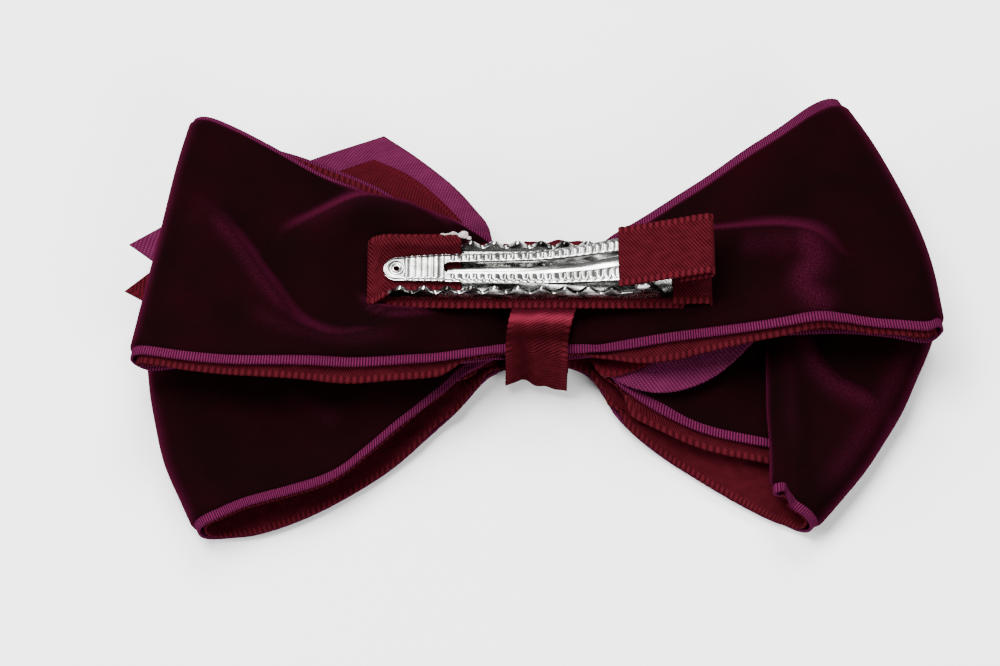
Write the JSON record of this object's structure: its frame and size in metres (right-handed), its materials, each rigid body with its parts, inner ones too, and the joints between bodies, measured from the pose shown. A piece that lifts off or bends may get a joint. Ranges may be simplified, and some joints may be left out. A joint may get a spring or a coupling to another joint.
{
  "type": "barrette",
  "caption": "Double-layer velvet ribbon bow with satin lining and streamers, tied with a satin band and glued to a sprung toothed hair clip.",
  "frame": {"origin": "middle of the base of the whole object, lying on the bow's front", "axes": "+X along the clip towards its squeezing end, +Y to the bow's upper side, +Z out of the bow's back, from the bow to the clip"},
  "size_m": [0.1154, 0.0636, 0.0252],
  "materials": {
    "velvet": "dark burgundy cut pile with a magenta sheen",
    "lining_satin": "satin face, garnet red",
    "plum_ribbon": "matt plain weave, plum",
    "red_ribbon": "satin face, garnet red",
    "band_satin": "twilled satin with picot edges, garnet red",
    "thread": "matt sewing thread",
    "glue": "cloudy hot-melt glue",
    "plated_steel": "bright nickel plate",
    "spring_steel": "bright nickel plate"
  },
  "bodies": {
    "bow": {"upper_bow_velvet": "velvet", "upper_bow_lining": "lining_satin", "lower_bow_velvet": "velvet", "lower_bow_lining": "lining_satin", "plum_tail_ribbon": "plum_ribbon", "red_tail_ribbon": "red_ribbon", "centre_band": "band_satin", "binding_thread": "thread", "glue_pad": "glue", "clip_base": "plated_steel", "hinge_pin": "plated_steel", "lever_spring": "spring_steel", "base_ribbon": "band_satin"},
    "lever": {"clip_lever": "plated_steel", "lever_ribbon": "band_satin"}
  },
  "joints": [
    {"name": "lever_hinge", "type": "hinge", "parent": "bow", "child": "lever", "pos_m": [0.0151, 0.00235, 0.01975], "axis": [0, 1, 0], "range_deg": [0, 32], "stiffness_Nm_per_rad": 0.07, "springref_deg": -16.62, "deforming": ["lever_spring"]}
  ]
}
